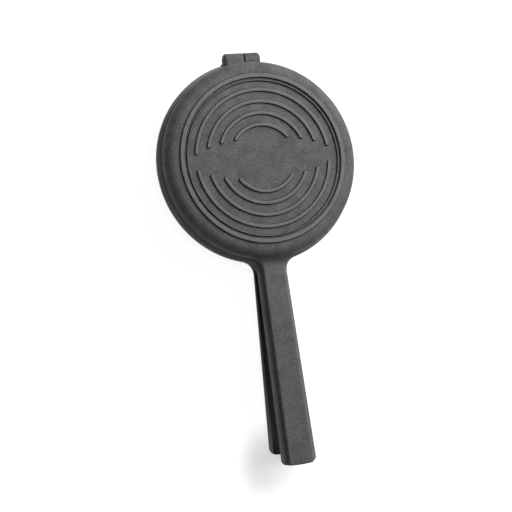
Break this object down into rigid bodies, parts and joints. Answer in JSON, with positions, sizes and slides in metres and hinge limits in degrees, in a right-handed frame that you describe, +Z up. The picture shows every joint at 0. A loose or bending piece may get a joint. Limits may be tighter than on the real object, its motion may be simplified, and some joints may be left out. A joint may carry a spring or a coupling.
{
  "type": "pie iron",
  "caption": "Round cast-iron pie iron: two shallow pans face to face, hinged at the back, each with its own long flat handle and raised arcs on its outer face.",
  "frame": {"origin": "on the pans' axis, on the foot ring of the lower pan that the closed iron lies on", "axes": "+Z up through the closed pans, -Y along the handles to their ends, +Y to the hinge, +X along the hinge pin"},
  "size_m": [0.16, 0.323, 0.0422],
  "materials": {
    "lower_casting": "pebbled grey sand casting, satin",
    "upper_casting": "pebbled grey sand casting, satin",
    "pin": "plain drawn steel, dulled"
  },
  "bodies": {
    "lower": {"lower_pan": "lower_casting", "hinge_pin": "pin"},
    "upper": {"upper_pan": "upper_casting"}
  },
  "joints": [
    {"name": "lid_hinge", "type": "hinge", "parent": "lower", "child": "upper", "pos_m": [0, 0.0816, 0.0211], "axis": [-1, 0, 0], "range_deg": [0, 180]}
  ]
}
